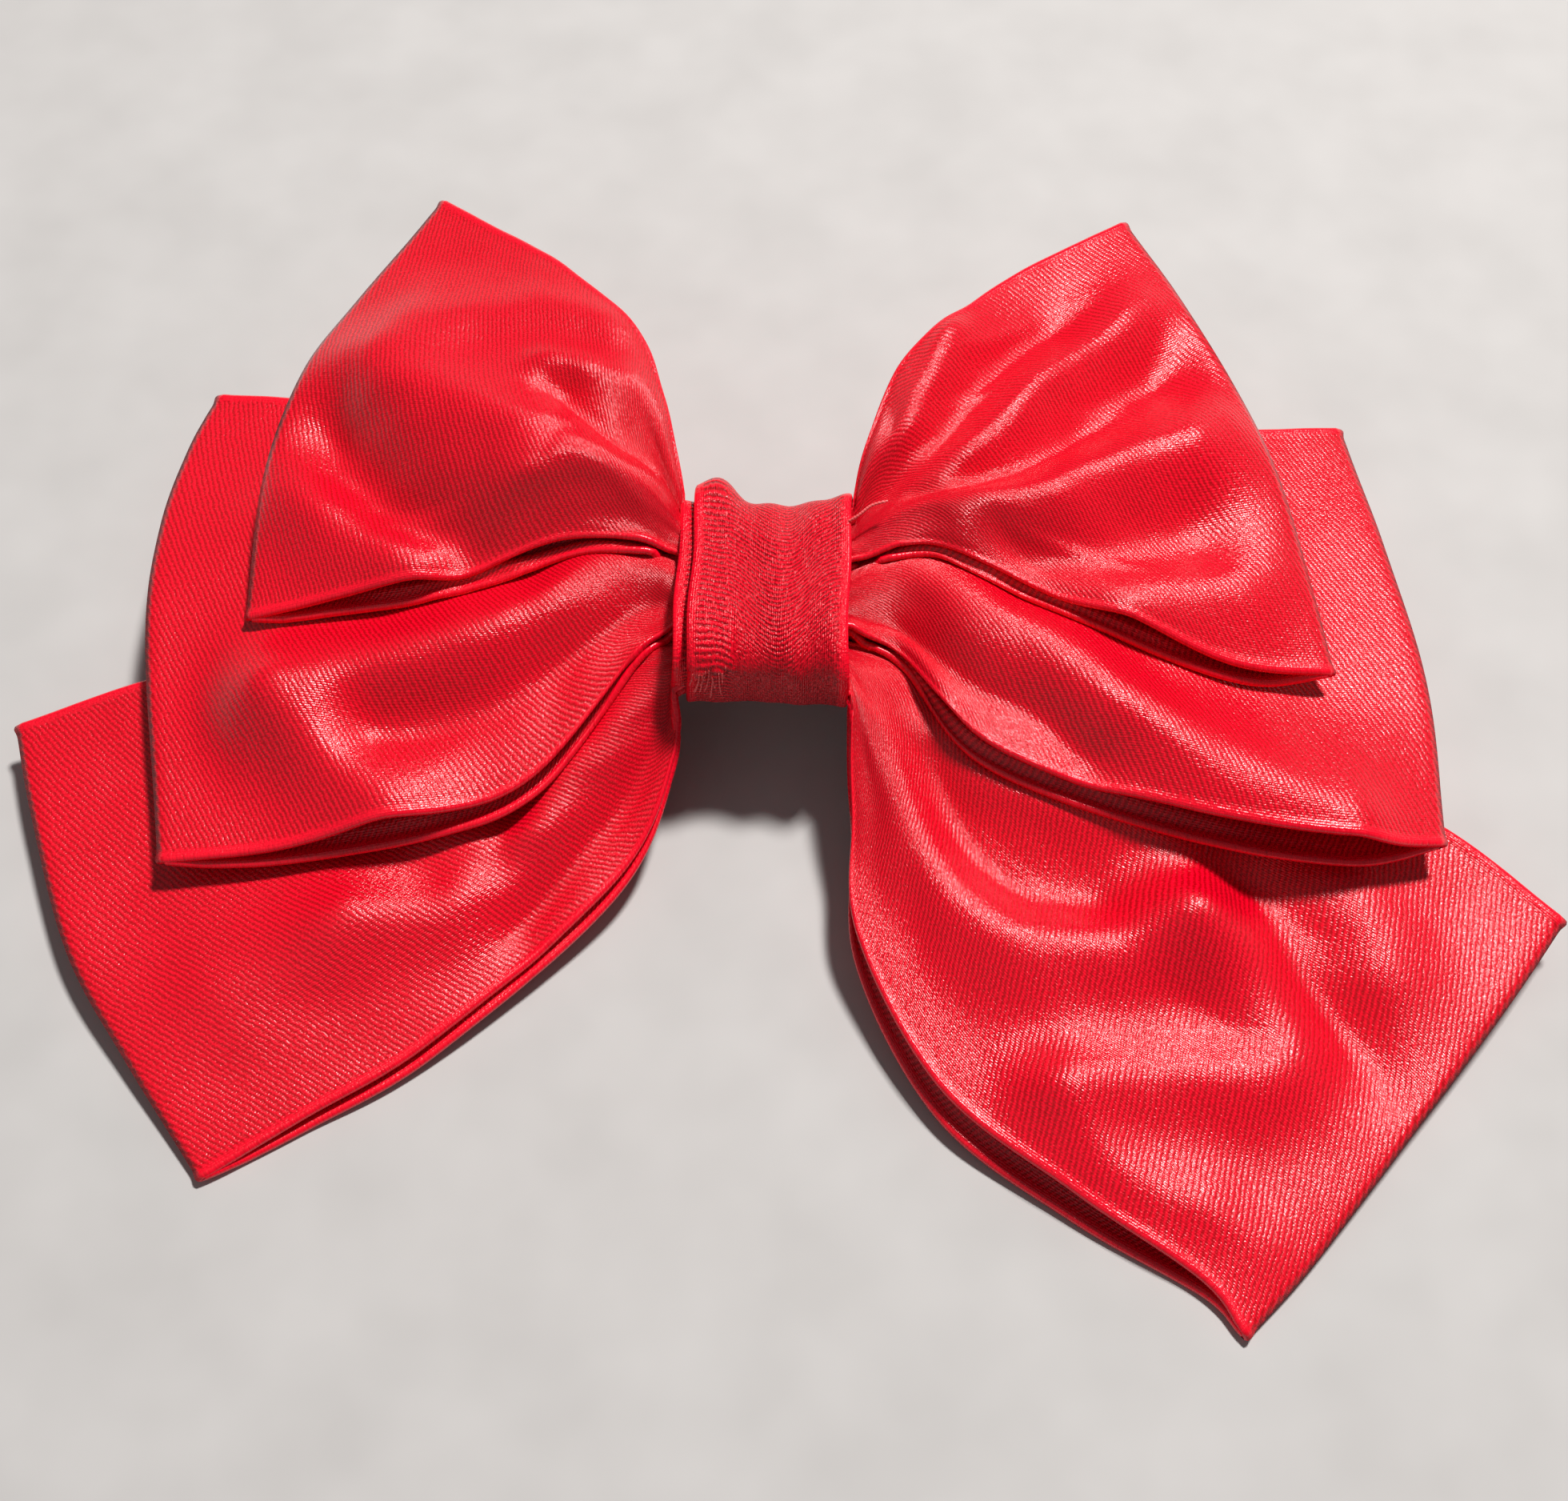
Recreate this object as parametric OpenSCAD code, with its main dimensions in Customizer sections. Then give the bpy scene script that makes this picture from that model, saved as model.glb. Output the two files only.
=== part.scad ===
// Three-tier satin ribbon hair bow on an 80 mm spring clip.
//
// The bow lies on its back: +Z comes out of its face, +Y points to its top
// and +X to the right. The origin is the middle of the clip's wearing side,
// on the surface that the bow rests on. All sizes are in millimetres.
//
// Each tier is one closed ribbon loop, pressed flat and gathered at the waist,
// so it leaves the knot as a left and a right wing. A wing lies between two
// edges, each a curve from the knot through a pull point towards its tip.

/* [Upper bow] */
// Tip of the left wing's top edge
upper_left_top = [-53, 71, 26]; // [-120:0.5:120]
// Pull point of the left wing's top edge
upper_left_top_pull = [-10, 38, 34]; // [-120:0.5:120]
// Tip of the left wing's bottom edge
upper_left_bottom = [-72, -3, 20]; // [-120:0.5:120]
// Pull point of the left wing's bottom edge
upper_left_bottom_pull = [-38, 10, 27]; // [-120:0.5:120]
// Tip of the right wing's top edge
upper_right_top = [52, 67, 29]; // [-120:0.5:120]
// Pull point of the right wing's top edge
upper_right_top_pull = [12, 42, 34]; // [-120:0.5:120]
// Tip of the right wing's bottom edge
upper_right_bottom = [77.5, -7.5, 21]; // [-120:0.5:120]
// Pull point of the right wing's bottom edge
upper_right_bottom_pull = [41, 7, 27]; // [-120:0.5:120]

/* [Middle bow] */
// Tip of the left wing's top edge
middle_left_top = [-85.5, 41, 14]; // [-120:0.5:120]
// Pull point of the left wing's top edge
middle_left_top_pull = [-50, 40, 21]; // [-120:0.5:120]
// Tip of the left wing's bottom edge
middle_left_bottom = [-80, -37, 12]; // [-120:0.5:120]
// Pull point of the left wing's bottom edge
middle_left_bottom_pull = [-24, -37, 26]; // [-120:0.5:120]
// Tip of the right wing's top edge
middle_right_top = [86, 42.5, 12]; // [-120:0.5:120]
// Pull point of the right wing's top edge
middle_right_top_pull = [55, 42, 21]; // [-120:0.5:120]
// Tip of the right wing's bottom edge
middle_right_bottom = [91.5, -30, 15]; // [-120:0.5:120]
// Pull point of the right wing's bottom edge
middle_right_bottom_pull = [28, -35, 26.5]; // [-120:0.5:120]

/* [Lower bow] */
// Tip of the left wing's top edge
lower_left_top = [-106, -14.5, 7]; // [-120:0.5:120]
// Pull point of the left wing's top edge
lower_left_top_pull = [-62, -2, 12]; // [-120:0.5:120]
// Tip of the left wing's bottom edge
lower_left_bottom = [-70.5, -77, 0.8]; // [-120:0.1:120]
// Pull point of the left wing's bottom edge
lower_left_bottom_pull = [-7, -45, 8]; // [-120:0.5:120]
// Tip of the right wing's top edge
lower_right_top = [108.5, -37.5, 7]; // [-120:0.5:120]
// Pull point of the right wing's top edge
lower_right_top_pull = [62, -10, 12]; // [-120:0.5:120]
// Tip of the right wing's bottom edge
lower_right_bottom = [63, -92.5, 0.8]; // [-120:0.1:120]
// Pull point of the right wing's bottom edge
lower_right_bottom_pull = [1, -61, 9]; // [-120:0.5:120]

/* [Ribbon] */
// Thickness of a wing beside the knot, where its pleats are bunched
root_thickness = 4; // [3.2:0.1:4.2]
// Thickness of a wing half way out
belly_thickness = 3; // [2:0.1:3.2]
// Thickness of a wing at its outer fold
fold_thickness = 1.6; // [1:0.1:1.6]
// Rise of the upper wings' middle over their two edges
upper_crown = 5; // [0:0.5:6]
// Rise of the middle wings' middle over their two edges
middle_crown = 2; // [0:0.1:2.4]
// Rise of the lower wings' middle over their two edges
lower_crown = 1; // [0:0.1:1.2]
// Number of sections along each wing
wing_steps = 8; // [4:1:12]
// Number of points round each section
ring_points = 16; // [12:2:24]

/* [Knot] */
// Width of the knot band along the clip
knot_w = 23; // [18:0.5:26]
// Height of the knot band from the bow's top to its bottom
knot_h = 27.6; // [27:0.1:30]
// Level of the knot's face
knot_top = 30; // [30:0.1:32]
// Thickness of the knot band
knot_wall = 0.8; // [0.5:0.1:0.8]
// Width of the thread wound round each waist
thread_w = 3; // [2:0.5:4]

/* [Clip] */
// Length of the base plate
clip_length = 80; // [76:1:90]
// Width of the base plate
clip_w = 9; // [8:0.5:10]
// Thickness of the base plate
plate_t = 0.8; // [0.6:0.1:0.8]
// Radius of the base plate's arch
arch_r = 190; // [180:1:220]
// Level of the base plate's crown
crown_z = 16.4; // [16:0.1:16.4]
// Radius of the hinge pin
pin_r = 0.75; // [0.6:0.05:0.9]
// Radial clearance of the arm's knuckle on the hinge pin
pin_gap = 0.05; // [0.02:0.01:0.1]
// Width of the closing arm
arm_w = 6; // [5:0.5:6]
// Thickness of the closing arm
arm_t = 1; // [0.8:0.1:1.2]
// Radius of each sewing hole
sew_r = 0.9; // [0.6:0.1:1.2]
// Distance from the middle to each sewing hole
sew_x = 28; // [26:1:29]

/* [Hidden] */
$fn = 64;

satin = "#d8102a";
band_satin = "#c81830";
cotton = "#b01022";
steel = "#c4c6ca";
spring_steel = "#9da1a8";

// ---------------------------------------------------------------- ribbon

// Each waist is an ellipse in the plane across the clip: its middle as
// [y, z], then half its width and half its height.
upper_waist = [8.8, 24.8, 3.9, 3.8];
middle_waist = [0, 21.7, 4.3, 4.5];
lower_waist = [-9.1, 19.1, 3.8, 2.5];
thread_t = 0.5;
thread_gap = 0.05;
neck_x = thread_w / 2 + 0.2;
shoulder_x = neck_x + 1.5;
root_x = knot_w / 2 + 0.5;

function lerp(a, b, t) = a + (b - a) * t;
function bezier(p, q, r, t) = lerp(lerp(p, q, t), lerp(q, r, t), t);
function side_power(t) = lerp(0.9, 0.6, t);

// One closed ring from the top edge round the face to the bottom edge and
// back along the underside.
function ring(top, bottom, thickness, rise, bow, power) = [
    for (k = [0 : ring_points - 1])
        let (a = 360 * k / ring_points, s = sin(a))
        lerp(top, bottom, (1 - cos(a)) / 2)
            + bow * s * s
            + [0, 0, rise * s * s + sign(s) * pow(abs(s), power) * thickness / 2]
];

function waist_ring(x, waist, shrink) = ring(
    [x, waist[0] + waist[2] - shrink, waist[1]],
    [x, waist[0] - waist[2] + shrink, waist[1]],
    2 * (waist[3] - shrink), 0, [0, 0, 0], 1);

// How far the outer fold's middle stands out beyond the line between the tips.
fold_bow = 3;

function wing_bow(top, bottom, side) =
    let (d = bottom - top, n = norm([d[0], d[1]]))
    side * fold_bow * [-d[1], d[0], 0] / n;

// Sections from the knot to the outer fold; side is 1 on the right, -1 on the left.
function wing_rings(waist, side, crown, top_pull, top, bottom_pull, bottom) =
    let (
        root_top = [side * root_x, waist[0] + waist[2], waist[1]],
        root_bottom = [side * root_x, waist[0] - waist[2], waist[1]],
        bow = wing_bow(top, bottom, side)
    )
    [for (i = [1 : wing_steps])
        let (
            t = i / wing_steps,
            thickness = lerp(belly_thickness, fold_thickness, t * t)
                + (root_thickness - belly_thickness) * pow(1 - t, 5)
        )
        ring(
            bezier(root_top, top_pull, top, t),
            bezier(root_bottom, bottom_pull, bottom, t),
            thickness, crown * sin(180 * t), bow * t * t, side_power(t))];

function reversed(list) = [for (i = [len(list) - 1 : -1 : 0]) list[i]];

// A closed skin over a row of rings, with its two ends closed by strips.
module skin(rings) {
    n = ring_points;
    last = len(rings) - 1;
    half = n / 2;
    sides = [
        for (i = [0 : last - 1], k = [0 : n - 1])
            let (a = i * n + k, b = i * n + (k + 1) % n)
            each [[a, b, b + n], [a, b + n, a + n]]
    ];
    ends = [
        for (k = [0 : half - 1])
            let (a = k, b = k + 1, c = (n - k) % n, d = n - k - 1, e = last * n)
            each [
                if (c != a) [a, c, b],
                if (d != b) [b, c, d],
                if (c != a) [e + a, e + b, e + c],
                if (d != b) [e + b, e + d, e + c]
            ]
    ];
    polyhedron(points = [for (r = rings) each r], faces = concat(sides, ends));
}

module tier(waist, crown, left, right) {
    left_rings = wing_rings(waist, -1, crown, left[0], left[1], left[2], left[3]);
    right_rings = wing_rings(waist, 1, crown, right[0], right[1], right[2], right[3]);
    waist_x = [-root_x, -shoulder_x, -neck_x, neck_x, shoulder_x, root_x];
    shrink = [0, 0, thread_t + thread_gap, thread_t + thread_gap, 0, 0];
    waist_rings = [for (i = [0 : len(waist_x) - 1]) waist_ring(waist_x[i], waist, shrink[i])];
    skin(concat(reversed(left_rings), waist_rings, right_rings));
}

module upper_bow() {
    color(satin)
    tier(
        upper_waist,
        upper_crown,
        [upper_left_top_pull, upper_left_top, upper_left_bottom_pull, upper_left_bottom],
        [upper_right_top_pull, upper_right_top, upper_right_bottom_pull, upper_right_bottom]
    );
}

module middle_bow() {
    color(satin)
    tier(
        middle_waist,
        middle_crown,
        [middle_left_top_pull, middle_left_top, middle_left_bottom_pull, middle_left_bottom],
        [middle_right_top_pull, middle_right_top, middle_right_bottom_pull, middle_right_bottom]
    );
}

module lower_bow() {
    color(satin)
    tier(
        lower_waist,
        lower_crown,
        [lower_left_top_pull, lower_left_top, lower_left_bottom_pull, lower_left_bottom],
        [lower_right_top_pull, lower_right_top, lower_right_bottom_pull, lower_right_bottom]
    );
}

// Several turns of thread, drawn as one flat band round the waist's neck.
module gather_thread(waist) {
    color(cotton)
    rotate([90, 0, 90])
    linear_extrude(thread_w, center = true)
    difference() {
        thread_outline(waist, 0);
        thread_outline(waist, thread_t);
    }
}

module thread_outline(waist, shrink) {
    polygon([
        for (p = waist_ring(0, waist, shrink)) [p[1], p[2]]
    ]);
}

module upper_gather_thread() {
    gather_thread(upper_waist);
}

module middle_gather_thread() {
    gather_thread(middle_waist);
}

module lower_gather_thread() {
    gather_thread(lower_waist);
}

// ------------------------------------------------------------------ knot

knot_round_top = 6;
knot_round_bottom = 2.4;
knot_below_plate = 1.2;
knot_bottom = crown_z - plate_t - knot_below_plate;

// Rounded outline of the knot across the clip; inset shrinks it all round.
module knot_outline(inset) {
    half = knot_h / 2 - inset;
    top_r = knot_round_top - inset;
    bottom_r = knot_round_bottom - inset;
    hull() {
        for (side = [-1, 1]) {
            translate([side * (half - top_r), knot_top - inset - top_r])
            circle(top_r);
            translate([side * (half - bottom_r), knot_bottom + inset + bottom_r])
            circle(bottom_r);
        }
    }
}

module knot_band() {
    color(band_satin)
    rotate([90, 0, 90])
    linear_extrude(knot_w, center = true)
    difference() {
        knot_outline(0);
        knot_outline(knot_wall);
    }
}

// ------------------------------------------------------------------ clip

arch_z = crown_z - arch_r;
corner_r = 2;
spare = 2;      // by which a cutting body is wider than what it cuts

// Hinge at the left end.
hinge_x = -36;
hinge_z = 2.2;
ear_r = 2.2;
ear_t = 0.8;
ear_gap = 0.2;
ear_y = clip_w / 2 - ear_t / 2;
knuckle_r = 1.95;
pin_out = 0.1;
pin_head_r = 1.3;
pin_head_t = 0.5;

// Clasp at the right end.
clasp_from = 33.6;
clasp_to = 39.6;
clasp_t = 0.7;
clasp_w = 8.6;
clasp_mid = (clasp_from + clasp_to) / 2;
catch_w = 4.6;
catch_gap = 0.1;
catch_bead_r = 0.5;

// Tension spring and the keepers that hold its ends.
spring_half = 33;
spring_w = 6;
spring_t = 0.4;
spring_low = 10.5;
keeper_x = 31;
keeper_w = 2;
keeper_t = 0.6;
keeper_side_gap = 0.2;
keeper_room = 0.5;
spring_end_gap = 0.1;

// Level of the arch's outside at x, for a layer that lies depth below the crown.
function arch_level(x, depth) = arch_z + sqrt(pow(arch_r - depth, 2) - x * x);

// An arched strip between two depths under the crown, cut to a plan outline.
module arched(depth_from, depth_to) {
    intersection() {
        rotate([90, 0, 0])
        linear_extrude(clip_w + spare, center = true)
        difference() {
            translate([0, arch_z]) circle(arch_r - depth_from, $fn = 360);
            translate([0, arch_z]) circle(arch_r - depth_to, $fn = 360);
        }
        linear_extrude(2 * crown_z) children();
    }
}

// A rectangle with rounded corners, from exact arcs.
module rounded_rect(x, y, r) {
    square([x - 2 * r, y], center = true);
    square([x, y - 2 * r], center = true);
    for (i = [-1, 1], j = [-1, 1])
        translate([i * (x / 2 - r), j * (y / 2 - r)]) circle(r);
}

// One of the two cheeks that carry the hinge pin.
module ear() {
    rotate([90, 0, 0])
    linear_extrude(ear_t, center = true)
    intersection() {
        union() {
            translate([hinge_x, hinge_z]) circle(ear_r);
            translate([hinge_x - ear_r, hinge_z]) square([2 * ear_r, crown_z]);
        }
        translate([0, arch_z]) circle(arch_r - plate_t / 2, $fn = 360);
    }
}

// A belt loop under the base plate that keeps one end of the tension spring.
module keeper() {
    low = arch_level(spring_half, plate_t) - spring_t - keeper_room;
    top = arch_level(keeper_x + keeper_w / 2, plate_t / 2);
    slot_w = spring_w + 2 * keeper_side_gap;
    difference() {
        translate([-keeper_w / 2, -clip_w / 2, low - keeper_t])
        cube([keeper_w, clip_w, top - low + keeper_t]);
        translate([-keeper_w, -slot_w / 2, low])
        cube([2 * keeper_w, slot_w, crown_z]);
    }
}

module base_plate() {
    color(steel)
    difference() {
        union() {
            arched(0, plate_t) rounded_rect(clip_length, clip_w, corner_r);
            for (side = [-1, 1]) {
                translate([0, side * ear_y, 0]) ear();
                translate([side * keeper_x, 0, 0]) keeper();
            }
        }
        for (side = [-1, 1])
            translate([side * sew_x, 0, 0]) cylinder(r = sew_r, h = 2 * crown_z);
        translate([hinge_x, 0, hinge_z])
        rotate([90, 0, 0])
        cylinder(r = pin_r, h = 2 * clip_w, center = true);
        clasp_rivet_shank();
    }
}

module hinge_pin() {
    color(spring_steel)
    translate([hinge_x, 0, hinge_z])
    rotate([90, 0, 0]) {
        cylinder(r = pin_r, h = clip_w + 2 * pin_out, center = true);
        for (side = [-1, 1])
            translate([0, 0, side * (clip_w / 2 + pin_head_t / 2)])
            cylinder(r = pin_head_r, h = pin_head_t, center = true);
    }
}

// The arm is an arched strip with a rolled knuckle at the hinge and a narrow
// tongue at the clasp.
arm_end = clasp_to - clasp_t - catch_gap;
arm_mid = (hinge_x + arm_end) / 2;
arm_half = (arm_end - hinge_x) / 2;
arm_rise = 3.2;
arm_r = arm_half * arm_half / (2 * arm_rise) + arm_rise / 2;
arm_crown_z = hinge_z + arm_t / 2 + arm_rise;
tongue_w = 3.8;
tongue_from = clasp_from - 2;

module arm_plan() {
    translate([hinge_x, -arm_w / 2]) square([tongue_from - hinge_x, arm_w]);
    translate([hinge_x, -tongue_w / 2]) square([arm_end - hinge_x, tongue_w]);
}

module closing_arm() {
    color(steel)
    difference() {
        union() {
            intersection() {
                translate([arm_mid, 0, arm_crown_z - arm_r])
                rotate([90, 0, 0])
                linear_extrude(arm_w + spare, center = true)
                difference() {
                    circle(arm_r, $fn = 360);
                    circle(arm_r - arm_t, $fn = 360);
                }
                linear_extrude(crown_z) arm_plan();
            }
            translate([hinge_x, 0, hinge_z])
            rotate([90, 0, 0])
            cylinder(r = knuckle_r, h = 2 * (ear_y - ear_t / 2 - ear_gap), center = true);
        }
        translate([hinge_x, 0, hinge_z])
        rotate([90, 0, 0])
        cylinder(r = pin_r + pin_gap, h = 2 * clip_w, center = true);
    }
}

// A thin leaf that bows from the base plate's ends towards the arm.
spring_end_z = arch_level(spring_half, plate_t) - spring_end_gap;
spring_sag = spring_end_z - spring_t - spring_low;
spring_r = spring_half * spring_half / (2 * spring_sag) + spring_sag / 2;

module tension_spring() {
    color(spring_steel)
    intersection() {
        translate([0, 0, spring_low + spring_r])
        rotate([90, 0, 0])
        linear_extrude(spring_w + spare, center = true)
        difference() {
            circle(spring_r, $fn = 360);
            circle(spring_r - spring_t, $fn = 360);
        }
        linear_extrude(crown_z) rounded_rect(2 * spring_half, spring_w, corner_r);
    }
}

// The clasp lies under the base plate's right end and turns down into a catch.
module clasp() {
    color(spring_steel)
    difference() {
        union() {
            arched(plate_t, plate_t + clasp_t)
            translate([clasp_mid, 0])
            square([clasp_to - clasp_from, clasp_w], center = true);
            translate([clasp_to - clasp_t, -catch_w / 2, 0])
            cube([clasp_t, catch_w, arch_level(clasp_to, plate_t + clasp_t / 2)]);
            translate([clasp_to, 0, catch_bead_r])
            rotate([90, 0, 0])
            cylinder(r = catch_bead_r, h = catch_w, center = true);
        }
        clasp_rivet_shank();
    }
}

// The rivet stands square to the arch at the clasp's middle.
rivet_r = 1;
rivet_tilt = asin(clasp_mid / arch_r);
rivet_flange_r = 1.8;
rivet_flange_t = 0.5;
rivet_lift = 0.02;
rivet_cut = 8;

module on_arch() {
    translate([0, 0, arch_z]) rotate([0, rivet_tilt, 0]) children();
}

module clasp_rivet_shank() {
    on_arch()
    translate([0, 0, arch_r]) cylinder(r = rivet_r, h = rivet_cut, center = true);
}

module clasp_rivet() {
    stack = plate_t + clasp_t;
    color(steel)
    on_arch() {
        translate([0, 0, arch_r - stack - rivet_lift])
        cylinder(r = rivet_r, h = stack + 2 * rivet_lift);
        translate([0, 0, arch_r + rivet_lift])
        cylinder(r = rivet_flange_r, h = rivet_flange_t);
        translate([0, 0, arch_r - stack - 2 * rivet_lift - rivet_flange_t])
        cylinder(r = rivet_flange_r, h = rivet_flange_t + rivet_lift);
    }
}

// A release tab hangs from a rolled bead beside the clasp and flares outwards
// to a finger pad.
bead_r = 0.55;
bead_gap = 0.25;
bead_y = clasp_w / 2 + bead_gap + bead_r;
bead_z = 10.6;
tab_t = 0.6;
tab_length = 8;
tab_flare = 12;
tab_w = 5;
pad_r = 0.9;

module release_tab(side) {
    color(spring_steel)
    translate([clasp_mid, side * bead_y, bead_z]) {
        rotate([0, 90, 0]) cylinder(r = bead_r, h = tab_w, center = true);
        rotate([side * tab_flare, 0, 0]) {
            translate([-tab_w / 2, -tab_t / 2, -tab_length])
            cube([tab_w, tab_t, tab_length]);
            translate([0, 0, -tab_length])
            rotate([0, 90, 0])
            cylinder(r = pad_r, h = tab_w, center = true);
        }
    }
}

module front_release_tab() {
    release_tab(-1);
}

module rear_release_tab() {
    release_tab(1);
}

upper_bow();
middle_bow();
lower_bow();
knot_band();
upper_gather_thread();
middle_gather_thread();
lower_gather_thread();
base_plate();
hinge_pin();
closing_arm();
tension_spring();
clasp();
clasp_rivet();
front_release_tab();
rear_release_tab();
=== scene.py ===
import math

import bmesh
import bpy
import numpy as np
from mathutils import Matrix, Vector
from mathutils.bvhtree import BVHTree


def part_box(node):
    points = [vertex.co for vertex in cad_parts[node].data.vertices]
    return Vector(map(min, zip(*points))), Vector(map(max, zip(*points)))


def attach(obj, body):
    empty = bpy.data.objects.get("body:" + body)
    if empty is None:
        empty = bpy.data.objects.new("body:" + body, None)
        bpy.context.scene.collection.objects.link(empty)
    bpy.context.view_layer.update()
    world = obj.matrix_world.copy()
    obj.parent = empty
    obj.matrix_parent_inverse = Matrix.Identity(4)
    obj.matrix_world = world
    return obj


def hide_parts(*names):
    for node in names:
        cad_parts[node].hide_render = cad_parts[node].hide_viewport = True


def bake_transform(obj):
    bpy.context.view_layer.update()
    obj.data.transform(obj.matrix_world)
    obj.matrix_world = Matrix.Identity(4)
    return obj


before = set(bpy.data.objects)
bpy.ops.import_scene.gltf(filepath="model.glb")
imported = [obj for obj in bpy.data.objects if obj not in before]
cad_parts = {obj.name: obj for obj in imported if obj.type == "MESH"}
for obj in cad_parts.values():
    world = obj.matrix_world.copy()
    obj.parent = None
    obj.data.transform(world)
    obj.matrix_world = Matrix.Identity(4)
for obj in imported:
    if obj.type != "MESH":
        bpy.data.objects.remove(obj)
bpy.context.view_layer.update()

# A satin hair bow on its clip: three looped ribbon tiers, a knot band, gather threads and a leaf spring.
# Shapes are worked out in millimetres in the frame's axes and stored in metres.
MM = 0.001


# ------------------------------------------------------------------ places taken from the frame

def box_mm(node):
    low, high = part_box(node)
    return np.array(low) / MM, np.array(high) / MM


def middle_and_half(node):
    low, high = box_mm(node)
    return (low + high) / 2, (high - low) / 2


KNOT_HIGH = box_mm("knot_band")[1]
KNOT_MID, KNOT_HALF = middle_and_half("knot_band")
ROOT_X = KNOT_HIGH[0] + 0.5     # how far along the clip a wing starts


def waist(tier):
    """Middle and half size of a tier's waist across the clip: y, z, half width, half height."""
    mid, half = middle_and_half(tier + "_gather_thread")
    return mid[1], mid[2], half[1], half[2]


# ------------------------------------------------------------------ ribbon

RIBBON_W = 77.0       # width of the flat ribbon
STEP = 2.2            # grid step along the ribbon before it is refined
ACROSS = 42           # grid cells across the ribbon before it is refined
FABRIC_T = 0.6        # thickness of one folded ply
EDGE_BEAD = 0.6       # extra thickness along the rolled edges
BEAD_W = 0.9          # how far in from the edge the roll fades
PLY_GAP = 1.5         # least distance between the middles of a loop's two plies
FAN = 69.0            # how much wider a wing is at its fold than at the knot
STEEP = 0.95          # steepest fold, as height over half width
ROOT_SPREAD = 1.3     # how much broader than given a fold is at the knot
SPREAD_END = 0.35     # share of the wing's length over which that fades
ROOT_SHARE = 0.16     # share of the wing's length that counts as its gathered root
PLEATS, PLEAT_HALF, PLEAT_HIGH = 6, 5.0, 2.3     # fine pleats of a back ply: count, half width, height
RIPPLE_HALF, RIPPLE_HIGH = 6.0, 3.8              # its broad ripples: half width, height


def lerp(a, b, t):
    return a + (b - a) * t


def smooth_step(low, high, x):
    t = np.clip((x - low) / (high - low), 0, 1)
    return t * t * (3 - 2 * t)


def waves(count, at, phase=0.0):
    return np.cos(2 * math.pi * count * at + phase)


def nearest(x, y, line):
    """Squared distance from each point (x, y) to the nearest of a line's points."""
    d2 = np.full(x.shape, 1e9)
    for lx, ly in line:
        d2 = np.minimum(d2, (x - lx) ** 2 + (y - ly) ** 2)
    return d2


def run_lengths(line):
    """How far along a line each of its points is."""
    return np.concatenate([[0], np.cumsum(np.linalg.norm(np.diff(line, axis=0), axis=1))])


def evenly(line, n):
    """n points evenly spaced along a line, and how far along it each is."""
    run = run_lengths(line)
    at = np.linspace(0, run[-1], n)
    return np.stack([np.interp(at, run, line[:, k]) for k in range(line.shape[1])], axis=1), at


def spline(points, n):
    """n points, evenly spaced, on a smooth curve through the given points."""
    p = np.array(points, float)
    p = np.concatenate([2 * p[:1] - p[1:2], p, 2 * p[-1:] - p[-2:-1]])
    t = np.linspace(0, 1, 25)[:-1, None]
    parts = []
    for a, b, c, d in zip(p[:-3], p[1:-2], p[2:-1], p[3:]):
        parts.append(0.5 * (2 * b + (c - a) * t + (2 * a - 5 * b + 4 * c - d) * t ** 2
                            + (3 * b - a - 3 * c + d) * t ** 3))
    return evenly(np.concatenate(parts + [p[-2:-1]]), n)[0]


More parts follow.
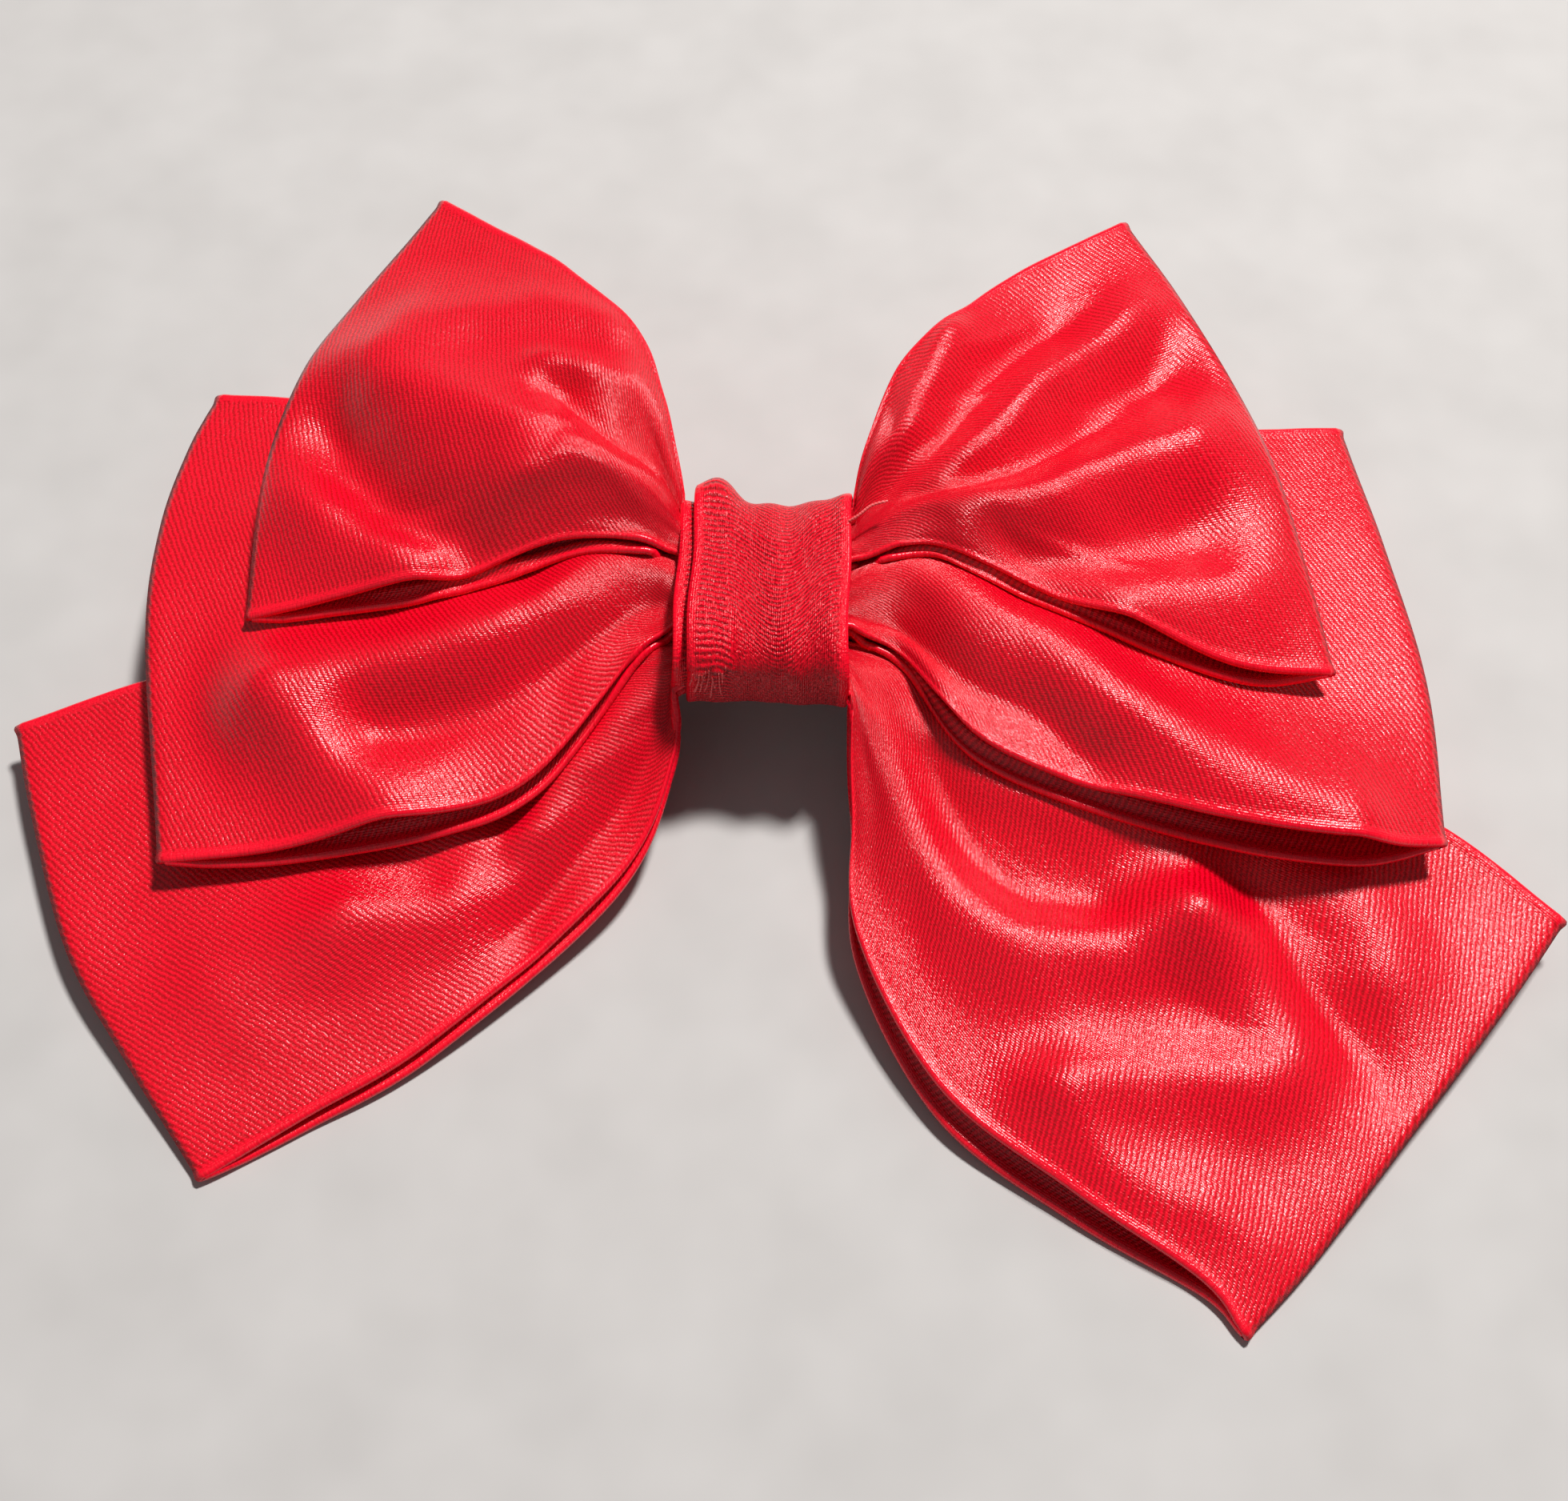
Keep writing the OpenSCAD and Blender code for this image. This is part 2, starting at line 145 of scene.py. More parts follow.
class Wing:
    """One wing of a tier: a front ply, the outer fold and a back ply, on one grid.

    top and bottom are points along its edges, outer is the line of its outer fold, crown the rise of
    its middle, edge_drop how far (y, z) the back ply's lower edge lies outside the front ply's, and
    ripples their number across the back ply. A fold is its curve's (t, v) points, half width and
    height, where t runs from the knot to the outer fold and v from the top edge to the bottom edge."""

    def __init__(self, tier, side, length, top, bottom, outer, crown, edge_drop, ripples, folds):
        self.tier, self.side, self.length = tier, side, length
        self.top, self.bottom, self.outer = top, bottom, outer
        self.crown, self.edge_drop = crown, edge_drop
        self.ripples, self.folds = ripples, folds
        self.cells = int(round(length / STEP))

    def start(self):
        """The wing as it is laid, before the cloth settles: front ply and back ply."""
        n = self.cells
        t = np.linspace(0, 1, n + 1)
        v = np.linspace(0, 1, ACROSS + 1)
        y0, z0, half_y, half_z = waist(self.tier)
        x0 = self.side * ROOT_X
        top = spline([(x0, y0 + half_y, z0 + half_z / 2)] + self.top, n + 1)
        bottom = spline([(x0, y0 - half_y, z0 + half_z / 2)] + self.bottom, n + 1)
        outer = spline([self.top[-1]] + self.outer + [self.bottom[-1]], ACROSS + 1)
        tt, vv = np.meshgrid(t, v, indexing="ij")
        base = lerp(top[:, None, :], bottom[:, None, :], v[None, :, None])
        bulge = outer - lerp(top[-1], bottom[-1], v[:, None])
        base = base + bulge[None] * (t ** 2)[:, None, None]
        # the front ply swells in its middle and carries the folds
        hump = 4 * vv * (1 - vv)
        swell = hump ** 0.8 * np.sin(math.pi * tt ** 0.8)
        front, back = base.copy(), base.copy()
        front[..., 2] += self.crown * swell + self.hand_folds(tt, vv)
        # the back ply hangs below, a little outside along the lower edge
        apart = np.sin(math.pi * tt ** 0.7) ** 0.6
        drop_y, drop_z = self.edge_drop
        depth = lerp(PLY_GAP, half_z, np.clip(1 - tt / 0.2, 0, 1) * np.sin(math.pi * vv) ** 0.5)
        back[..., 1] -= drop_y * apart * vv ** 3
        back[..., 2] -= depth * np.clip((1 - tt) * 8, 0, 1) + drop_z * apart * vv ** 3
        back[..., 2] += self.back_pleats(tt, vv, half_z) - 2.0 * swell
        return front, back

    def back_pleats(self, tt, vv, half_z):
        """Gathers of the back ply: it is drawn in at the root, finely pleated next to it, then rippled."""
        root = np.clip(1 - tt / ROOT_SHARE, 0, 1)
        from_edge = RIBBON_W * np.minimum(vv, 1 - vv)
        inner = 1 - np.exp(-(from_edge / 5.0) ** 2)
        squeeze = 0.4 * half_z * root ** 1.5 * waves(2, vv)
        pinch = np.minimum(self.steepest(tt, PLEAT_HALF), PLEAT_HIGH) * np.clip(1 - tt / 0.7, 0, 1)
        pinch = pinch * (1 - root) * waves(PLEATS, vv, self.side)
        ripple = np.minimum(1.5 * self.steepest(tt, RIPPLE_HALF), RIPPLE_HIGH) * np.clip(tt / 0.1, 0, 1)
        ripple = ripple * smooth_step(0, 0.45, 1 - tt) * waves(self.ripples, vv, 1)
        return (ripple + pinch - squeeze) * inner

    def steepest(self, tt, half_width):
        """The highest that a fold of this half width in the flat ribbon can stand at tt."""
        narrow = (RIBBON_W - FAN * (1 - tt)) / RIBBON_W
        return STEEP * half_width * narrow

    def hand_folds(self, tt, vv):
        """Ridges (height > 0) and valleys along curves through (t, v) points."""
        rise = np.zeros_like(tt)
        px, py = tt * self.length, vv * RIBBON_W
        for points, half_width, height in self.folds:
            d2 = nearest(px, py, spline(points, 40) * np.array([self.length, RIBBON_W]))
            wide = half_width * (1 + ROOT_SPREAD * np.clip(1 - tt / SPREAD_END, 0, 1))
            high = np.minimum(abs(height), self.steepest(tt, wide)) * math.copysign(1, height)
            rise += high * np.exp(-(d2 / wide ** 2) ** 0.85)
        return rise * np.clip((1 - tt) * 7, 0, 1) ** 0.7


WINGS = [
    Wing("upper", -1, 74,
         [(-16, 28, 32), (-20, 38, 34), (-29, 49, 33), (-37, 57, 31), (-53, 71, 26)],
         [(-26, 6, 26), (-36, 3, 26), (-48, -0.5, 25), (-61, -2, 23), (-72, -3, 20)],
         [(-63, 50, 27), (-69, 35, 27), (-72, 17, 25)],
         5.0, (1.5, 0.3), 7, [
             ([(0.03, 0.05), (0.22, 0.14), (0.34, 0.26), (0.46, 0.33)], 6, 4.5),
             ([(0.06, 0.30), (0.21, 0.47), (0.34, 0.46), (0.41, 0.42)], 4.5, -5.0),
             ([(0.01, 0.60), (0.16, 0.70), (0.30, 0.74), (0.36, 0.80)], 8.5, 6.0),
             ([(0.48, 0.97), (0.58, 0.87), (0.70, 0.80), (0.90, 0.62)], 7, -6.5),
             ([(0.44, 0.62), (0.60, 0.56), (0.76, 0.52), (0.90, 0.48)], 12, 4.0),
             ([(0.45, 0.10), (0.67, 0.23), (0.80, 0.33)], 8, 1.5),
             ([(0.60, 0.97), (0.84, 0.82), (0.97, 0.76)], 7, 3.0),
         ]),
    Wing("upper", 1, 76,
         [(14, 22, 32), (18, 33, 34), (26, 43, 34), (36, 54, 32), (52, 67, 29)],
         [(22, 7, 26), (30, 4, 26), (46, -3, 24), (63, -8, 22), (77.5, -7.5, 21)],
         [(60, 51, 29), (70, 25, 28), (75, 5, 24)],
         4.0, (1.5, 0.3), 7, [
             ([(0.03, 0.09), (0.19, 0.24), (0.32, 0.17), (0.45, 0.06)], 6, 4.0),
             ([(0.10, 0.42), (0.32, 0.36), (0.48, 0.23), (0.69, 0.15)], 8, -3.0),
             ([(0.24, 0.55), (0.41, 0.44), (0.57, 0.34), (0.72, 0.28), (0.92, 0.21)], 5.5, 3.5),
             ([(0.20, 0.62), (0.48, 0.54), (0.72, 0.41), (0.92, 0.34)], 7, -4.5),
             ([(0.02, 0.70), (0.20, 0.80), (0.43, 0.72), (0.64, 0.61), (0.93, 0.53)], 9, 5.0),
             ([(0.40, 0.90), (0.59, 0.79), (0.78, 0.71)], 9, -3.5),
             ([(0.58, 0.98), (0.73, 0.89), (0.96, 0.81)], 8, 3.0),
         ]),
    Wing("middle", -1, 90,
         [(-26, 19, 23), (-50, 32, 20), (-68, 38, 17), (-85.5, 41, 14)],
         [(-18, -9, 20), (-30, -25, 17.5), (-42, -31, 16), (-62, -35, 13.5), (-80, -37, 12)],
         [(-88, 30, 15), (-89, 15, 16), (-87, -5, 16)],
         3.0, (1.5, 0.3), 5, [
             ([(0.04, 0.35), (0.34, 0.57), (0.49, 0.64), (0.63, 0.69), (0.78, 0.71)], 9, 4.5),
             ([(0.80, 0.75), (0.72, 0.84), (0.62, 0.97)], 8, 3.5),
             ([(0.08, 0.66), (0.25, 0.75), (0.45, 0.78), (0.62, 0.80)], 6, -5.0),
             ([(0.03, 0.05), (0.40, 0.30), (0.90, 0.35)], 14, 1.5),
         ]),
    Wing("middle", 1, 90,
         [(26, 19, 23), (50, 32, 20), (68, 38, 16), (86, 42, 12)],
         [(19, -7, 20), (30, -20, 20), (56, -29, 18), (79, -32, 16), (91.5, -30, 15)],
         [(89, 20, 15), (92, -6, 16)],
         3.0, (1.5, 0.3), 5, [
             ([(0.01, 0.30), (0.23, 0.55), (0.37, 0.69), (0.49, 0.81), (0.63, 0.89), (0.86, 0.96)], 11, 5.5),
             ([(0.08, 0.84), (0.34, 0.86), (0.45, 0.94)], 5, -4.0),
             ([(0.12, 0.93), (0.20, 0.98)], 4, 2.0),
         ]),
    Wing("lower", -1, 98,
         [(-40, -1, 16), (-70, -4, 12.5), (-88, -8, 10), (-106, -14.5, 7)],
         [(-12, -19, 14), (-19, -35, 8), (-42, -58, 4.5), (-58, -69, 3), (-70, -77, 1.5)],
         [(-101, -28, 7), (-92, -48, 6), (-82, -62, 4)],
         2.0, (1.7, 0.6), 5, [
             ([(0.02, 0.40), (0.18, 0.60), (0.30, 0.66), (0.37, 0.75)], 8, 7.0),
             ([(0.30, 0.46), (0.38, 0.60), (0.43, 0.74)], 6, -4.0),
             ([(0.44, 0.55), (0.46, 0.72), (0.55, 0.80), (0.66, 0.70)], 7, 2.5),
             ([(0.70, 0.71), (0.86, 0.71), (0.93, 0.72)], 13, 2.0),
             ([(0.06, 0.78), (0.20, 0.84), (0.32, 0.87), (0.45, 0.92)], 5, -5.0),
         ]),
    Wing("lower", 1, 104,
         [(44, -6, 17), (70, -14, 14), (93, -25, 10), (108.5, -37.5, 7.5)],
         [(13, -27, 14), (14, -43, 10), (25, -63, 7), (42, -76, 5), (58, -86, 3), (63, -92.5, 1.5)],
         [(100, -49, 7), (86, -66, 5), (72, -83, 3)],
         2.0, (3.0, 2.5), 5, [
             ([(0.04, 0.50), (0.13, 0.66), (0.29, 0.73), (0.41, 0.73), (0.51, 0.66), (0.63, 0.47)], 9, 6.0),
             ([(0.12, 0.48), (0.31, 0.60), (0.44, 0.60), (0.53, 0.52)], 7, -4.0),
             ([(0.21, 0.44), (0.34, 0.44), (0.54, 0.28)], 6, 3.0),
             ([(0.65, 0.43), (0.75, 0.47), (0.83, 0.55), (0.82, 0.64), (0.74, 0.73), (0.66, 0.83)], 7, 3.0),
             ([(0.65, 0.88), (0.75, 0.92), (0.95, 0.89)], 6, 2.0),
             ([(0.67, 0.32), (0.82, 0.44), (0.93, 0.48)], 6, -3.5),
             ([(0.77, 0.20), (0.86, 0.30)], 9, 2.0),
         ]),
]


def grid_faces(rows, columns, first=0):
    i, j = np.meshgrid(np.arange(rows - 1), np.arange(columns - 1), indexing="ij")
    a = first + i * columns + j
    return np.stack([a, a + columns, a + columns + 1, a + 1], axis=-1).reshape(-1, 4)


def mesh_object(name, points_mm, faces):
    mesh = bpy.data.meshes.new(name)
    mesh.from_pydata((np.asarray(points_mm) * MM).tolist(), [], [list(map(int, f)) for f in faces])
    mesh.validate()
    obj = bpy.data.objects.new(name, mesh)
    bpy.context.scene.collection.objects.link(obj)
    return obj


SETTLE_FRAMES = 12
PIN, EDGE_GOAL, SOFT_GOAL = 1.0, 0.6, 0.12     # how firmly the cloth is held to its laid shape
EASE = 10             # passes that smooth how far the cloth has moved
SPARE = 0.003         # how much longer the cloth is than the laid shape, so that it buckles a little


def blurred(field):
    """Each value of a grid replaced by the mean of its four neighbours."""
    padded = np.pad(field, [(1, 1), (1, 1)] + [(0, 0)] * (field.ndim - 2), mode="edge")
    return (padded[:-2, 1:-1] + padded[2:, 1:-1] + padded[1:-1, :-2] + padded[1:-1, 2:]) / 4


def settle(wings):
    """Cloth simulation of all the wings at once: waists and tips are held, and the rest finds its folds."""
    starts, weights, faces, spans = [], [], [], []
    first = 0
    for w in wings:
        front, back = w.start()
        grid = np.concatenate([front, back[::-1][1:]])
        rows, columns = grid.shape[:2]
        pin = np.full((rows, columns), SOFT_GOAL)
        pin[:, [0, -1]] = EDGE_GOAL
        pin[w.cells] = EDGE_GOAL
        pin[:2] = pin[-2:] = PIN
        pin[w.cells, [0, -1]] = PIN
        starts.append(grid.reshape(-1, 3))
        weights.append(pin.reshape(-1))
        faces.append(grid_faces(rows, columns, first))
        spans.append((first, rows, columns))
        first += rows * columns
    start, weight, faces = np.concatenate(starts), np.concatenate(weights), np.concatenate(faces)
    cloth_object = mesh_object("settling", start, faces)
    group = cloth_object.vertex_groups.new(name="pin")
    for level in np.unique(weight):
        group.add([int(i) for i in np.nonzero(weight == level)[0]], float(level), "REPLACE")
    modifier = cloth_object.modifiers.new("cloth", "CLOTH")
    cloth = modifier.settings
    cloth.vertex_group_mass = "pin"
    cloth.shrink_min = -SPARE
    cloth.quality = 8
    cloth.mass = 0.15
    cloth.tension_stiffness = 30
    cloth.compression_stiffness = 20
    cloth.shear_stiffness = 8
    cloth.bending_stiffness = 6
    cloth.tension_damping = cloth.compression_damping = 8
    cloth.shear_damping = 6
    cloth.bending_damping = 0.6
    cloth.air_damping = 3
    cloth.pin_stiffness = 1
    cloth.effector_weights.gravity = 0.15
    modifier.collision_settings.use_collision = False
    modifier.collision_settings.use_self_collision = False
    scene = bpy.context.scene
    modifier.point_cache.frame_start = 1
    modifier.point_cache.frame_end = SETTLE_FRAMES
    for f in range(1, SETTLE_FRAMES + 1):
        scene.frame_set(f)
    done = cloth_object.evaluated_get(bpy.context.evaluated_depsgraph_get())
    co = np.zeros(len(start) * 3, np.float32)
    done.data.vertices.foreach_get("co", co)
    moved = co.reshape(-1, 3).astype(float) / MM - start
    bpy.data.objects.remove(cloth_object)
    scene.frame_set(1)
    settled = []
    for a, r, c in spans:
        shift = moved[a:a + r * c].reshape(r, c, 3)
        for _ in range(EASE):
            shift = blurred(shift)
        settled.append(start[a:a + r * c].reshape(r, c, 3) + shift)
    return settled


def refine(grid):
    """Twice as many grid cells each way, on a smooth curve through the given points."""
    for axis in (0, 1):
        g = np.moveaxis(grid, axis, 0)
        before = np.concatenate([2 * g[:1] - g[1:2], g, 2 * g[-1:] - g[-2:-1]])
        middle = (9 * (g[:-1] + g[1:]) - before[:-3] - before[3:]) / 16
        out = np.empty((2 * len(g) - 1,) + g.shape[1:])
        out[0::2], out[1::2] = g, middle
        grid = np.moveaxis(out, 0, axis)
    return grid


def too_close(front, back):
    """How far short of the least gap two plies are; the gap closes at the waist and the outer fold."""
    t = np.linspace(0, 1, len(front))[:, None]
    least = PLY_GAP * np.clip((1 - t) * 12, 0, 1) * np.clip(t * 12, 0, 1)
    return np.clip(least - (front[..., 2] - back[..., 2]), 0, None)


def part_plies(grid, cells):
    """Keeps a wing's front ply above its back ply."""
    front, back = grid[:cells + 1], grid[cells:][::-1]
    short = too_close(front, back)
    front[..., 2] += 0.2 * short
    back[..., 2] -= 0.8 * short
    return np.concatenate([front, back[::-1][1:]])


def normals(grid, closed):
    along = np.gradient(grid, axis=0)
    if closed:
        along[0] = along[-1] = (grid[1] - grid[-2]) / 2
    across = np.gradient(grid, axis=1)
    n = np.cross(across, along)
    return n / np.maximum(np.linalg.norm(n, axis=2, keepdims=True), 1e-9)


EDGE_STEPS = 3        # points round a rolled edge, between the ribbon's two faces
EDGE_COLUMNS = np.array([0, 0.4, 0.8, 1.2, 1.7, 2.3, 3.0])     # the columns' distances from an edge
INNER_COLUMNS = 68
UV_SCALE = 0.01       # UV units to the millimetre


def finer_edges(grid):
    """The grid's columns laid closer together along both edges of the ribbon."""
    inner = np.linspace(EDGE_COLUMNS[-1], RIBBON_W - EDGE_COLUMNS[-1], INNER_COLUMNS)[1:-1]
    v = np.concatenate([EDGE_COLUMNS, inner, RIBBON_W - EDGE_COLUMNS[::-1]])
    at = v / RIBBON_W * (grid.shape[1] - 1)
    low = np.minimum(at.astype(int), grid.shape[1] - 2)
    part = (at - low)[None, :, None]
    return grid[:, low] * (1 - part) + grid[:, low + 1] * part, v


def ribbon_solid(name, grid, flat_s, v, fabric=FABRIC_T, bead=EDGE_BEAD, skew=None):
    """A closed loop of ribbon with thickness, rounded rolled edges and flat coordinates as its UV map.

    flat_s and v are the flat coordinates of the grid's rows and columns in mm, and skew is how far
    along the ribbon the weave is drawn at each column."""
    skew = np.zeros(len(v)) if skew is None else skew
    rows, columns = grid.shape[:2]
    rows -= 1                                   # the last row repeats the first
    n = normals(grid, closed=True)[:-1]
    grid = grid[:-1]
    edge = np.minimum(v, v[-1] - v)
    half = (fabric + bead * np.exp(-(edge / BEAD_W) ** 2)) / 2
    upper = grid + n * half[None, :, None]
    lower = grid - n * half[None, :, None]
    ring_points, ring_v, ring_skew = [upper], [v], [skew]
    # the ring turns round one edge, comes back along the lower face and turns round the other edge
    for side, column in ((1, -1), (-1, 0)):
        across = grid[:, column] - grid[:, column - side]
        across /= np.maximum(np.linalg.norm(across, axis=1, keepdims=True), 1e-9)
        angles = np.pi * np.arange(1, EDGE_STEPS + 1) / (EDGE_STEPS + 1)
        turned = [grid[:, column] + half[column] * (side * math.cos(a) * n[:, column]
                                                    + math.sin(a) * across) for a in angles]
        ring_points.append(np.stack(turned, axis=1))
        ring_v.append(np.full(EDGE_STEPS, v[column]))
        ring_skew.append(np.full(EDGE_STEPS, skew[column]))
        if side == 1:
            ring_points.append(lower[:, ::-1])
            ring_v.append(v[::-1])
            ring_skew.append(skew[::-1])
    ring = np.concatenate(ring_points, axis=1)
    ring_v, ring_skew = np.concatenate(ring_v), np.concatenate(ring_skew)
    around = ring.shape[1]
    i, j = np.meshgrid(np.arange(rows), np.arange(around), indexing="ij")
    i2, j2 = (i + 1) % rows, (j + 1) % around
    faces = np.stack([i * around + j, i * around + j2, i2 * around + j2, i2 * around + j], axis=-1)
    obj = mesh_object(name, ring.reshape(-1, 3), faces.reshape(-1, 4))
    u0, u1 = flat_s[:-1], flat_s[1:]
    uv = np.empty((rows, around, 4, 2))
    next_v, next_skew = np.roll(ring_v, -1), np.roll(ring_skew, -1)
    uv[..., 0, 0] = u0[:, None] + ring_skew
    uv[..., 1, 0] = u0[:, None] + next_skew
    uv[..., 2, 0] = u1[:, None] + next_skew
    uv[..., 3, 0] = u1[:, None] + ring_skew
    uv[..., 0, 1] = uv[..., 3, 1] = ring_v
    uv[..., 1, 1] = uv[..., 2, 1] = next_v
    layer = obj.data.uv_layers.new(name="ribbon")
    layer.data.foreach_set("uv", uv.reshape(-1).astype(np.float32) * UV_SCALE)
    for p in obj.data.polygons:
        p.use_smooth = True
    return obj


rng = np.random.default_rng(7)
CRINKLES = 14         # number of the small waves over a wing
CRINKLE, CRINKLE_HIGH = 14, 0.12     # their length and height
FOLD_FADE = 12        # grid rows on each side of the outer fold where they fade


def crinkle(grid):
    """Small random waves along the surface's normal, fading towards the wing's outer fold."""
    rows, columns = grid.shape[:2]
    fade = np.clip(abs(np.arange(rows)[:, None] - (rows - 1) / 2) / FOLD_FADE, 0, 1)
    s = np.arange(rows)[:, None] * STEP / 2
    v = np.linspace(0, RIBBON_W, columns)[None, :]
    rise = np.zeros((rows, columns))
    for _ in range(CRINKLES):
        angle = rng.uniform(0, math.pi)
        length = rng.uniform(0.6, 1.8) * CRINKLE
        k = 2 * math.pi / length
        rise += np.sin(k * (math.cos(angle) * s + math.sin(angle) * v) + rng.uniform(0, 6.3))
    return grid + normals(grid, False) * (rise * fade * CRINKLE_HIGH / 4)[..., None]


BACK_EASE = 6         # passes that smooth how far a wing's back ply is lifted
FRONT_EASE = 40       # and its front ply
TIER_GAP = 0.9        # least distance from a back ply's middle to the tier below
ABOVE_ALL = 90        # a level higher than the bow


def stack(grid, cells, below):
    """Lifts a wing wherever its back ply would lie in the wing below."""
    if below is None:
        return grid
    back = grid[cells:][::-1]
    lift = np.zeros(back.shape[:2])
    for i in range(back.shape[0]):
        for j in range(back.shape[1]):
            x, y, z = back[i, j]
            hit = below.ray_cast(Vector((x, y, ABOVE_ALL)), Vector((0, 0, -1)))[0]
            if hit is not None:
                lift[i, j] = max(0, hit.z + TIER_GAP - z)
    lift[:2] = 0
    smooth = lift.copy()
    for _ in range(BACK_EASE):
        smooth = np.maximum(lift, blurred(smooth))
        smooth[:2] = lift[:2]
    gentle = smooth.copy()
    for _ in range(FRONT_EASE):
        gentle = blurred(gentle)
        gentle[:2], gentle[-1] = lift[:2], smooth[-1]
    front, back = grid[:cells + 1].copy(), back.copy()
    back[..., 2] += smooth
    front[..., 2] += gentle
    short = too_close(front, back)
    raised = short.copy()
    for _ in range(BACK_EASE):
        raised = np.maximum(short, blurred(raised))
    raised[-1] = raised[0] = 0
    front[..., 2] += raised
    return np.concatenate([front, back[::-1][1:]])


WAIST_SQUEEZE = 0.18  # share of the way to the knot's middle that the band draws a waist in
WAIST_CELLS = 12      # grid cells along the clip through the knot


def in_knot(points, k):
    """A waist's rows drawn in towards the knot's middle, where the band squeezes them."""
    amount = WAIST_SQUEEZE * np.sin(math.pi * k[..., 0]) ** 0.4
    points = points.copy()
    for axis in (1, 2):
        points[..., axis] += (KNOT_MID[axis] - points[..., axis]) * amount
    return points


def lay_tiers():
    """The wings of each tier by side, settled, with every tier lifted off the one below."""
    settled = list(zip(WINGS, settle(WINGS)))
    tiers = {}
    below = None
    for tier in ("lower", "middle", "upper"):
        grids = {}
        for w, grid in settled:
            if w.tier != tier:
                continue
            grid = stack(part_plies(grid, w.cells), w.cells, below)
            if tier == "lower":
                grid[..., 2] = np.maximum(grid[..., 2], FABRIC_T)
            grids[w.side] = grid
        points, faces = [], []
        first = 0
        for grid in grids.values():
            rows, columns = grid.shape[:2]
            points.append(grid.reshape(-1, 3))
            faces.append(grid_faces(rows, columns, first))
            first += rows * columns
        below = BVHTree.FromPolygons(np.concatenate(points).tolist(), np.concatenate(faces).tolist())
        tiers[tier] = grids
    return tiers


def closed_loop(left, right):
    """A tier's whole loop: front waist, right wing out and back, back waist, left wing out and back."""
    k = np.linspace(0, 1, WAIST_CELLS + 1)[:, None, None]
    front_waist = in_knot(lerp(left[0], right[0], k), k)
    back_waist = in_knot(lerp(right[-1], left[-1], k), k)
    return np.concatenate([front_waist, right[1:], back_waist[1:], left[::-1][1:]])


def build_tiers():
    """Each tier's ribbon and the length of its loop in mm."""
    built = {}
    for tier, grids in lay_tiers().items():
        left = crinkle(refine(grids[-1]))
        right = crinkle(refine(grids[1]))
        loop = closed_loop(left, right)
        steps = np.linalg.norm(np.diff(loop, axis=0), axis=2).mean(axis=1)
        flat_s = np.concatenate([[0], np.cumsum(steps)])
        loop, v = finer_edges(loop)
        built[tier] = (ribbon_solid(tier + "_ribbon", loop, flat_s, v), flat_s[-1])
    return built


# ------------------------------------------------------------------ knot band and threads

BAND_STEP = 0.45      # its grid step, both ways
BAND_T, BAND_BEAD = 0.5, 0.35        # its ply's thickness, and what the rolled edges add
BAND_LOW, BAND_HIGH = -9.9, 11.4     # the outer turn's edges along the clip
UNDER_LOW, UNDER_HIGH = -12.0, 10.6  # the inner turn's
UNDER_INSET = 0.85    # how far inside the outer turn the inner one lies
SQUARE_TOP, SQUARE_UNDER = 2.9, 5.0  # powers of the outline's superellipse
# shares of the way round the loop: below the near side, near side, top, far side and the hem's end
BELOW, NEAR, TOP, FAR, HEM_END = 0.19, 0.34, 0.53, 0.70, 0.295


def knot_loop(inset):
    """The band's outline round the waists, from the underside up the near side and over the top.

    It comes as points (y, z) at about the grid's step, with how far round each one is."""
    angle = np.radians(-90 - np.linspace(0, 360, 721))
    c, s = np.cos(angle), np.sin(angle)
    squareness = np.where(s > 0, SQUARE_TOP, SQUARE_UNDER)
    a, b = KNOT_HALF[1] - inset, KNOT_HALF[2] - inset
    r = (np.abs(c / a) ** squareness + np.abs(s / b) ** squareness) ** (-1 / squareness)
    line = np.stack([KNOT_MID[1] + r * c, KNOT_MID[2] + r * s], axis=1)
    return evenly(line, int(run_lengths(line)[-1] / BAND_STEP) + 1)


def bell(x, middle, half_width):
    return np.exp(-((x - middle) / half_width) ** 2)


def lines_relief(x, s, folds):
    """Ridges and valleys along curves through (x, s) points, each with its half width and height."""
    rise = np.zeros_like(x)
    for points, half_width, height in folds:
        rise += height * np.exp(-nearest(x, s, spline(points, 40)) / half_width ** 2)
    return rise


# the outer turn's puckers: along the clip and round the band, in mm
BAND_FOLDS = [
    ([(-6, 54), (-3, 47), (1, 42), (6, 46), (9, 53)], 2.2, 0.55),
    ([(-4, 42), (-2, 33), (-1, 22), (-1, 14)], 1.6, -0.45),
    ([(5, 36), (4, 27), (5, 16)], 1.8, 0.35),
    ([(-9, 55), (-8.4, 40), (-8.6, 25), (-8, 18)], 1.2, 0.35),
    ([(10.4, 50), (9.8, 35), (10.2, 20)], 1.0, 0.4),
]


HEM_WIDTH = 5.9       # of the edge folded over on the band's left
HEM_NARROWING = 1.7   # how much narrower it gets
HEM_NARROWS = (26, 42)     # lengths round the band between which it does


def hem_end(run, x):
    """How far round the band's loop the folded hem ends, at x."""
    return run[-1] * HEM_END + 0.5 * np.sin(2.3 * x) + 0.3 * np.sin(5.1 * x + 1)


def hem_row(run, xs):
    return np.array([int(np.searchsorted(run, hem_end(run, x))) for x in xs])


def turn_relief(x, s, across, around):
    """How far a turn of this length round stands off its outline; across is -1 to 1 over its width."""
    crown = 1 - across ** 2
    rise = (1.7 - 1.0 * crown) * bell(s, FAR * around, 7) - 0.5 * crown * bell(s, NEAR * around, 8)
    rise -= 0.9 * bell(s, BELOW * around, 5)
    return rise + 0.25 * np.sin(1.1 * x + 0.15 * s) * bell(s, TOP * around, 25)


